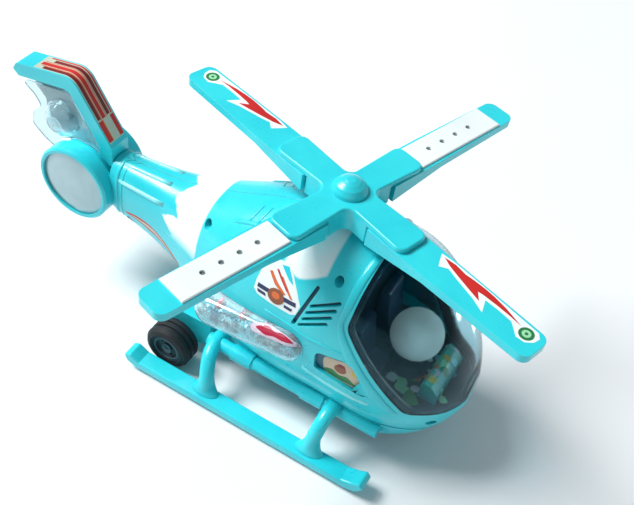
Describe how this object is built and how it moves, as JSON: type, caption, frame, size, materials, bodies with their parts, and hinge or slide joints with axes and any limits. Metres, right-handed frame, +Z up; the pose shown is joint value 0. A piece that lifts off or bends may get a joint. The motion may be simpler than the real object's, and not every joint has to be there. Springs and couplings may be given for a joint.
{
  "type": "toy helicopter",
  "caption": "Bright cyan toy helicopter with a cross rotor, smoked bubble canopy, clear light pods, skids and rear wheels.",
  "frame": {"origin": "middle of the bounding box in plan, on the ground under the wheels", "axes": "+X towards the nose, +Y to port, +Z up"},
  "size_m": [0.3384, 0.2414, 0.1579],
  "materials": {
    "cyan_plastic": "glossy moulded ABS, bright cyan",
    "white_plastic": "glossy white",
    "smoke_clear": "clear smoked blue, polished",
    "dark_trim": "glossy dark blue-grey",
    "clear_plastic": "clear, polished",
    "silver_plastic": "metallised silver, satin",
    "frosted_white": "frosted translucent white",
    "tyre_rubber": "matt black",
    "grey_plastic": "satin grey",
    "black_plastic": "satin black",
    "seat_blue": "satin dark blue",
    "dash_print": "printed orange, red and yellow",
    "steel": "bright zinc-plated steel",
    "brass": "turned brass",
    "board_green": "green solder mask",
    "lamp_red": "clear red lamp bodies",
    "label_card": "printed cell jackets",
    "window_print": "printed sticker on a plastic panel",
    "nylon": "natural nylon"
  },
  "bodies": {
    "fuselage": {"axle_housing": "cyan_plastic", "batteries": "label_card", "battery_box": "black_plastic", "battery_contacts": "steel", "battery_door": "cyan_plastic", "belly_pan": "cyan_plastic", "canopy": "smoke_clear", "canopy_rim": "dark_trim", "circuit_board": "board_green", "cockpit_bulkhead": "dark_trim", "cockpit_floor": "dark_trim", "dashboard": "dash_print", "door_screw": "steel", "drum_lenses": "silver_plastic", "fin_band": "cyan_plastic", "front_struts": "cyan_plastic", "gear_plate": "black_plastic", "globe_stem": "dark_trim", "left_shell": "cyan_plastic", "light_globe": "frosted_white", "longerons": "cyan_plastic", "mast_bush": "brass", "pivot_bracket": "black_plastic", "pod_covers": "clear_plastic", "pod_lamps": "lamp_red", "pod_reflectors": "silver_plastic", "rear_struts": "cyan_plastic", "right_shell": "cyan_plastic", "rotor_motor": "steel", "seats": "seat_blue", "shell_screws": "steel", "skid_left": "cyan_plastic", "skid_right": "cyan_plastic", "speaker": "black_plastic", "switch_body": "black_plastic", "tail_drum": "cyan_plastic", "tail_glass_left": "clear_plastic", "tail_glass_right": "clear_plastic", "tail_web": "grey_plastic", "window_panels": "window_print"},
    "rotor": {"rotor_shaft": "steel", "rotor_gear": "nylon", "rotor_hub": "cyan_plastic", "rotor_cap": "cyan_plastic", "rotor_blade_1": "cyan_plastic", "rotor_blade_2": "cyan_plastic", "rotor_blade_3": "cyan_plastic", "rotor_blade_4": "cyan_plastic", "blade_covers": "white_plastic"},
    "pinion": {"motor_pinion": "nylon"},
    "rear_wheels": {"rear_axle": "steel", "rear_hubs": "grey_plastic", "rear_tyres": "tyre_rubber"},
    "drive_unit": {"drive_turntable": "black_plastic", "drive_motor": "steel"},
    "drive_wheels": {"drive_axle": "steel", "drive_rims": "grey_plastic", "drive_tyres": "tyre_rubber"},
    "switch": {"switch_knob": "black_plastic"}
  },
  "joints": [
    {"name": "rotor_spin", "type": "hinge", "parent": "fuselage", "child": "rotor", "pos_m": [0.04841, 0, 0.13], "axis": [0, 0, 1], "continuous": true},
    {"name": "pinion_spin", "type": "hinge", "parent": "fuselage", "child": "pinion", "pos_m": [0.02993, 0, 0.112], "axis": [0, 0, 1], "continuous": true},
    {"name": "rear_wheel_spin", "type": "hinge", "parent": "fuselage", "child": "rear_wheels", "pos_m": [-0.02659, 0, 0.015], "axis": [0, 1, 0], "continuous": true},
    {"name": "drive_swivel", "type": "hinge", "parent": "fuselage", "child": "drive_unit", "pos_m": [0.08841, 0, 0.0125], "axis": [0, 0, 1], "continuous": true},
    {"name": "drive_wheel_spin", "type": "hinge", "parent": "drive_unit", "child": "drive_wheels", "pos_m": [0.08841, 0, 0.009], "axis": [0, 1, 0], "continuous": true},
    {"name": "switch_slide", "type": "slide", "parent": "fuselage", "child": "switch", "axis": [1, 0, 0], "range_m": [0, 0.004]}
  ],
  "couplings": [
    {"joint": "pinion_spin", "follows": "rotor_spin", "ratio": -3.6}
  ]
}
